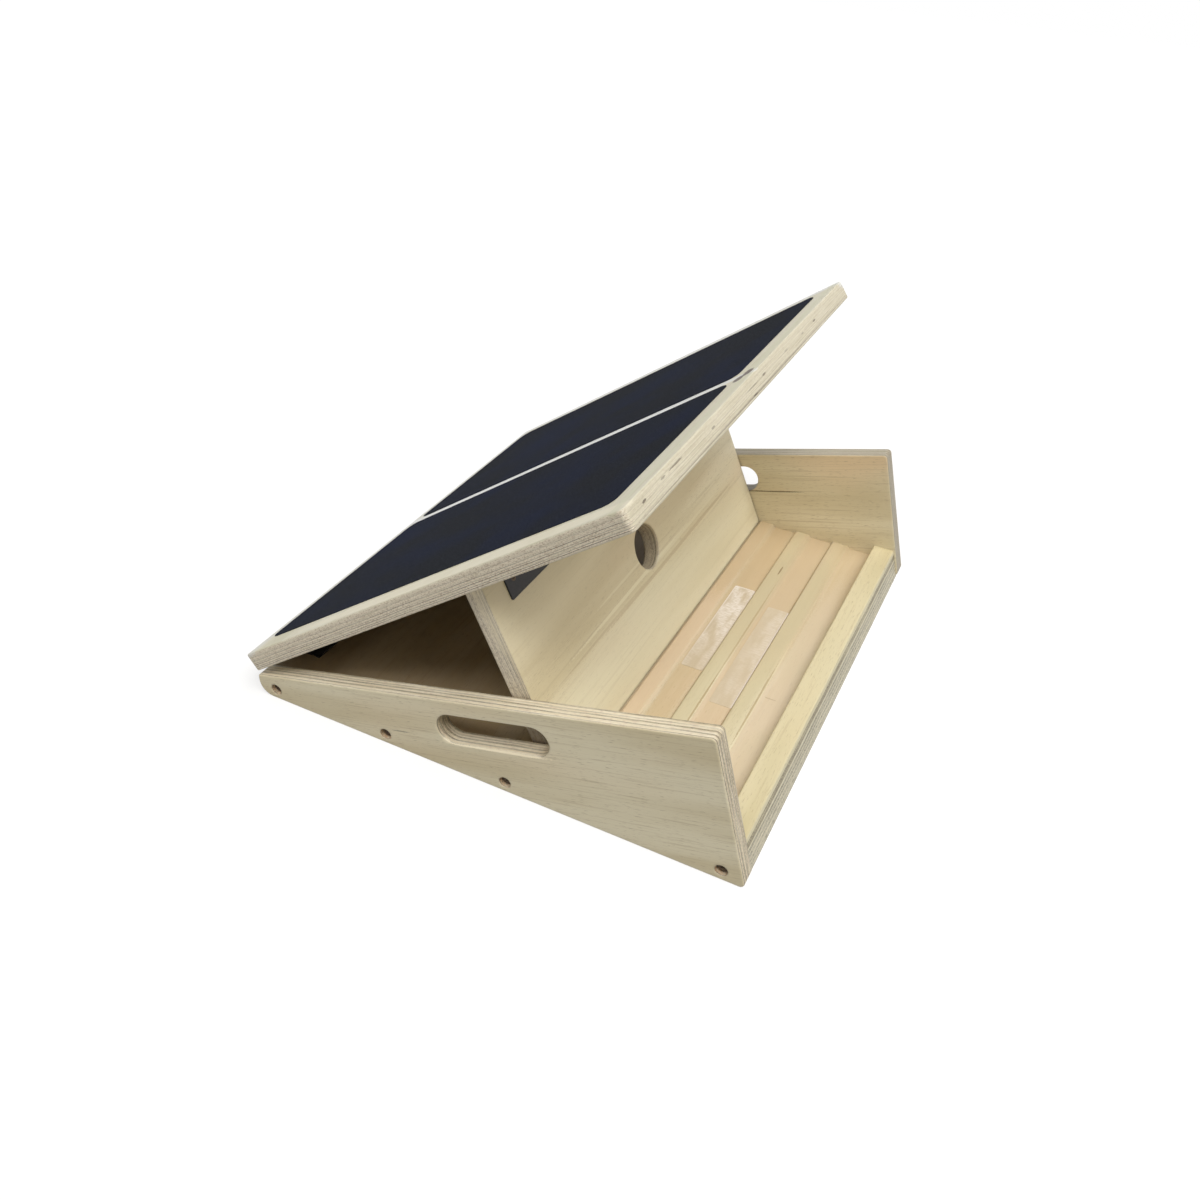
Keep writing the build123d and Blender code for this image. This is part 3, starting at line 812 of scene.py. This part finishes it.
# head with its cross recess, the top of it at z = 0
def screwHead(tree, given, minusHead):
    head = addNode(tree, "GeometryNodeMeshCone",
                   {"Vertices": screwShape["headSides"], "Radius Top": given["Head Radius"],
                    "Radius Bottom": given["Under Radius"], "Depth": given["Head Height"]}, "Mesh")
    head = atHeight(tree, head, minusHead)
    armLong = addNode(tree, "ShaderNodeMath", {0: given["Recess Size"], 1: 2.0}, operation="MULTIPLY")
    armWide = addNode(tree, "ShaderNodeMath", {0: given["Recess Size"], 1: screwShape["armShare"]},
                      operation="MULTIPLY")
    armDeep = addNode(tree, "ShaderNodeMath", {0: given["Recess Depth"], 1: 2.0}, operation="MULTIPLY")
    for sizeX, sizeY in ((armLong, armWide), (armWide, armLong)):
        size = addNode(tree, "ShaderNodeCombineXYZ", {0: sizeX, 1: sizeY, 2: armDeep})
        arm = addNode(tree, "GeometryNodeMeshCube", {"Size": size}, "Mesh")
        head = addNode(tree, "GeometryNodeMeshBoolean", {"Mesh 1": head, "Mesh 2": arm},
                       operation="DIFFERENCE", solver="EXACT")
    return head


# straight part of the shank under the head, and the point
def screwShank(tree, given, minusHead, bodyLength):
    shank = addNode(tree, "GeometryNodeMeshCylinder",
                    {"Vertices": screwShape["shankSides"], "Radius": given["Shank Radius"],
                     "Depth": bodyLength}, "Mesh")
    middle = addNode(tree, "ShaderNodeMath", {0: bodyLength, 1: -0.5}, operation="MULTIPLY")
    middle = addNode(tree, "ShaderNodeMath", {0: middle, 1: minusHead}, operation="ADD")
    tipLength = addNode(tree, "ShaderNodeMath",
                        {0: given["Shank Length"], 1: screwShape["pointShare"]}, operation="MULTIPLY")
    tip = addNode(tree, "GeometryNodeMeshCone",
                  {"Vertices": screwShape["shankSides"], "Radius Top": given["Shank Radius"],
                   "Radius Bottom": screwShape["pointRadius"], "Depth": tipLength}, "Mesh")
    end = addNode(tree, "ShaderNodeMath", {0: given["Shank Length"], 1: -1.0, 2: minusHead},
                  operation="MULTIPLY_ADD")
    return atHeight(tree, shank, middle), atHeight(tree, tip, end)


# a spiral with a small three-cornered profile
def screwThread(tree, given, minusHead, bodyLength):
    turns = addNode(tree, "ShaderNodeMath", {0: bodyLength, 1: given["Thread Pitch"]}, operation="DIVIDE")
    spiral = addNode(tree, "GeometryNodeCurveSpiral",
                     {"Resolution": screwShape["turnSteps"], "Rotations": turns,
                      "Start Radius": given["Shank Radius"], "End Radius": given["Shank Radius"],
                      "Height": bodyLength})
    radius = addNode(tree, "ShaderNodeMath", {0: given["Thread Pitch"], 1: screwShape["threadShare"]},
                     operation="MULTIPLY")
    profile = addNode(tree, "GeometryNodeCurvePrimitiveCircle", {"Resolution": 3, "Radius": radius},
                      mode="RADIUS")
    thread = addNode(tree, "GeometryNodeCurveToMesh",
                     {"Curve": spiral, "Profile Curve": profile, "Fill Caps": True})
    end = addNode(tree, "ShaderNodeMath", {0: bodyLength, 1: -1.0, 2: minusHead},
                  operation="MULTIPLY_ADD")
    return atHeight(tree, thread, end)


# one screw along Z with its point down and the top of its head at z = 0, copied to every point of
# the mesh it is put on and turned to that point's "axis"
def makeScrewTree(material):
    tree = bpy.data.node_groups.new("crossHeadScrew", "GeometryNodeTree")
    tree.interface.new_socket("Geometry", in_out="INPUT", socket_type="NodeSocketGeometry")
    tree.interface.new_socket("Geometry", in_out="OUTPUT", socket_type="NodeSocketGeometry")
    for name in hingeScrew:
        tree.interface.new_socket(name, in_out="INPUT", socket_type="NodeSocketFloat")
    given = addNode(tree, "NodeGroupInput", out=None)
    minusHead = addNode(tree, "ShaderNodeMath", {0: given["Head Height"], 1: -1.0}, operation="MULTIPLY")
    bodyLength = addNode(tree, "ShaderNodeMath",
                         {0: given["Shank Length"], 1: 1 - screwShape["pointShare"]}, operation="MULTIPLY")
    head = screwHead(tree, given, minusHead)
    shank, tip = screwShank(tree, given, minusHead, bodyLength)
    thread = screwThread(tree, given, minusHead, bodyLength)
    join = addNode(tree, "GeometryNodeJoinGeometry")
    for part in (thread, tip, shank, head):
        tree.links.new(part, join.node.inputs[0])
    axis = addNode(tree, "GeometryNodeInputNamedAttribute", {"Name": "axis"}, data_type="FLOAT_VECTOR")
    turn = addNode(tree, "FunctionNodeAlignRotationToVector", {"Vector": axis}, axis="Z")
    spin = addNode(tree, "FunctionNodeRandomValue",
                   {"Min": (0, 0, 0), "Max": (0, 0, screwShape["spinMost"]), "Seed": screwShape["seed"]},
                   data_type="FLOAT_VECTOR")
    turn = addNode(tree, "FunctionNodeRotateRotation", {0: turn, 1: spin}, rotation_space="LOCAL")
    copies = addNode(tree, "GeometryNodeInstanceOnPoints",
                     {"Points": given["Geometry"], "Instance": join, "Rotation": turn})
    copies = addNode(tree, "GeometryNodeRealizeInstances", {"Geometry": copies})
    copies = addNode(tree, "GeometryNodeSetMaterial", {"Geometry": copies, "Material": material})
    addNode(tree, "NodeGroupOutput", {"Geometry": copies})
    return tree


# turns what an object's modifiers give into its own plain mesh
def applyModifiers(piece):
    bpy.context.view_layer.update()
    solid = bpy.data.meshes.new_from_object(piece.evaluated_get(bpy.context.evaluated_depsgraph_get()))
    piece.modifiers.clear()
    piece.data = solid


# screws at places given as (top of the head, direction out of the head)
def makeScrews(name, places, sizes, body, *replaced):
    mesh = bpy.data.meshes.new(name + "Points")
    mesh.from_pydata([tuple(point) for point, axis in places], [], [])
    mesh.attributes.new("axis", "FLOAT_VECTOR", "POINT")
    for item, (point, axis) in zip(mesh.attributes["axis"].data, places):
        item.vector = axis
    piece = bpy.data.objects.new(name, mesh)
    bpy.context.scene.collection.objects.link(piece)
    modifier = piece.modifiers.new("screws", "NODES")
    modifier.node_group = screwTree
    for item in screwTree.interface.items_tree:
        if item.in_out == "INPUT" and item.name in sizes:
            modifier[item.identifier] = sizes[item.name]
    applyModifiers(piece)
    piece.data.name = name
    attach(piece, body)
    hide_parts(*replaced)
    print(name, len(places), "screws,", len(piece.data.polygons), "faces")


# rows of three screws in each hinge leaf; lengths in metres
leafRow = {
    "pitch": 0.023,
    "fromAxis": 0.012,                # hinge axis to the row
    "leafThickness": 0.0013,
}
leafLow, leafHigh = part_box("right_front_hinge_base_leaf")
hingeMiddle = (leafLow.x + leafHigh.x) / 2


# where one kind of leaf has its screws, on both hinges
def leafPlaces(pin, along, drive):
    head = drive * (boards["hingeOffset"] * mm - leafRow["leafThickness"])
    places = []
    for side in (-1, 1):
        for step in (-1, 0, 1):
            x = Vector((side * hingeMiddle + step * leafRow["pitch"], 0, 0))
            places.append((pin + x + along * leafRow["fromAxis"] + head, -drive))
    return places


def sidePlaces():
    places = []
    seat = sideRow["boreDepth"] * mm - sideScrew["Head Height"]
    for side in (-1, 1):
        for y in sideRowPlaces():
            places.append((Vector((side * (sideHigh.x - seat), y, sideRowHeight)),
                           Vector((side, 0, 0))))
    return places


screwTree = makeScrewTree(screwBlack)
makeScrews("frontHingeBaseScrews", leafPlaces(platformPin, Vector((0, 1, 0)), Vector((0, 0, -1))),
           hingeScrew, "base", "front_hinge_base_screws")
makeScrews("platformLeafScrews",
           leafPlaces(platformPin, platformBack, platformUp) + leafPlaces(propPin, platformBack, platformUp),
           hingeScrew, "platform", "front_hinge_platform_screws", "prop_hinge_platform_screws")
makeScrews("propLeafScrews", leafPlaces(propPin, propDown, -propBack), hingeScrew, "prop",
           "prop_hinge_prop_screws")
makeScrews("sideScrews", sidePlaces(), sideScrew, "base", "left_side_screws", "right_side_screws")
print("screws done")

# the leaves as stamped: the same shape with the burr rubbed off, which catches a thin line of light
leafLook = {
    "edge": 0.00028,                  # metres
    "segments": 2,
    "sharpAngle": 40.0,               # degrees
    "flatAngle": 1.0,
    "mergeDistance": 0.00001,
}


def makeLeaf(name, body):
    piece = bpy.data.objects.new(name + "_rubbed", nodes[name].data.copy())
    bpy.context.scene.collection.objects.link(piece)
    shape = bmesh.new()
    shape.from_mesh(piece.data)
    bmesh.ops.remove_doubles(shape, verts=shape.verts, dist=leafLook["mergeDistance"])
    bmesh.ops.dissolve_limit(shape, angle_limit=math.radians(leafLook["flatAngle"]),
                             verts=shape.verts, edges=shape.edges)
    bmesh.ops.recalc_face_normals(shape, faces=shape.faces)
    shape.to_mesh(piece.data)
    shape.free()
    bevel = piece.modifiers.new("edge", "BEVEL")
    bevel.width = leafLook["edge"]
    bevel.segments = leafLook["segments"]
    bevel.limit_method = "ANGLE"
    bevel.angle_limit = math.radians(leafLook["sharpAngle"])
    piece.data.materials.clear()
    piece.data.materials.append(leafBlack)
    applyModifiers(piece)
    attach(piece, body)
    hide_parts(name)


for side in ("left", "right"):
    makeLeaf(side + "_front_hinge_base_leaf", "base")
    makeLeaf(side + "_front_hinge_platform_leaf", "platform")
    makeLeaf(side + "_prop_hinge_platform_leaf", "platform")
    makeLeaf(side + "_prop_hinge_prop_leaf", "prop")
print("hinge leaves done")

stageLook = {
    "floor": "#A5A4A2",
    "floorSize": 8.0,
    "floorLift": 0.65,                # added for camera, glossy and see-through rays, to read white
    "fill": 0.20,
    # where each lamp's light comes from, its strength, and its apparent size in degrees
    "key": ((0.05, 0.50, 0.95), 2.1, 50.0),
    "side": ((0.45, 0.10, 0.90), 1.2, 25.0),
}


# 1 for the rays that should meet a plain white background
def seenDirectly(tree):
    path = addNode(tree, "ShaderNodeLightPath", out=None)
    seen = addNode(tree, "ShaderNodeMath",
                   {0: path["Is Camera Ray"], 1: path["Is Transmission Ray"]}, operation="MAXIMUM")
    return addNode(tree, "ShaderNodeMath", {0: seen, 1: path["Is Glossy Ray"]}, operation="MAXIMUM")


def makeFloor():
    bpy.ops.mesh.primitive_plane_add(size=stageLook["floorSize"], location=(0, 0, 0))
    floor = bpy.context.object
    floor.name = "floor"
    material, tree = newMaterial("paleFloor")
    lift = addNode(tree, "ShaderNodeMath", {0: seenDirectly(tree), 1: stageLook["floorLift"]},
                   operation="MULTIPLY")
    plain = addNode(tree, "ShaderNodeBsdfDiffuse", {"Color": linear(stageLook["floor"])})
    glow = addNode(tree, "ShaderNodeEmission", {"Color": (1, 1, 1, 1), "Strength": lift})
    both = addNode(tree, "ShaderNodeAddShader", {0: plain, 1: glow})
    addNode(tree, "ShaderNodeOutputMaterial", {"Surface": both})
    floor.data.materials.append(material)


def makeWorld():
    world = bpy.data.worlds.new("studio")
    bpy.context.scene.world = world
    world.use_nodes = True
    tree = world.node_tree
    tree.nodes.clear()
    level = addNode(tree, "ShaderNodeMapRange", {0: seenDirectly(tree), 3: stageLook["fill"], 4: 1.0})
    back = addNode(tree, "ShaderNodeBackground", {"Color": (1, 1, 1, 1), "Strength": level})
    addNode(tree, "ShaderNodeOutputWorld", {"Surface": back})


def makeLamp(name):
    source, strength, size = stageLook[name]
    lamp = bpy.data.lights.new(name + "Lamp", "SUN")
    lamp.energy = strength
    lamp.angle = math.radians(size)
    holder = bpy.data.objects.new(name + "Lamp", lamp)
    bpy.context.scene.collection.objects.link(holder)
    holder.rotation_euler = (-Vector(source)).to_track_quat("-Z", "Y").to_euler()


cameraLook = {
    "position": (0.68483, 0.29430, 0.56444),
    "forward": (-0.73853, -0.33221, -0.58669),
    "up": (-0.50867, -0.2966, 0.80826),
    "lens": 32.62,
    "sensor": 36.0,
    "nearest": 0.01,
}


def makeCamera():
    camera = bpy.data.objects.new("camera", bpy.data.cameras.new("camera"))
    bpy.context.scene.collection.objects.link(camera)
    camera.data.sensor_width = cameraLook["sensor"]
    camera.data.lens = cameraLook["lens"]
    camera.data.clip_start = cameraLook["nearest"]
    forward = Vector(cameraLook["forward"]).normalized()
    right = forward.cross(Vector(cameraLook["up"])).normalized()
    turn = Matrix((right, right.cross(forward), -forward)).transposed()
    camera.matrix_world = Matrix.Translation(cameraLook["position"]) @ turn.to_4x4()
    bpy.context.scene.camera = camera


makeFloor()
makeWorld()
makeLamp("key")
makeLamp("side")
makeCamera()
bpy.context.scene.view_settings.view_transform = "Standard"
print("stage, lamps and camera done")
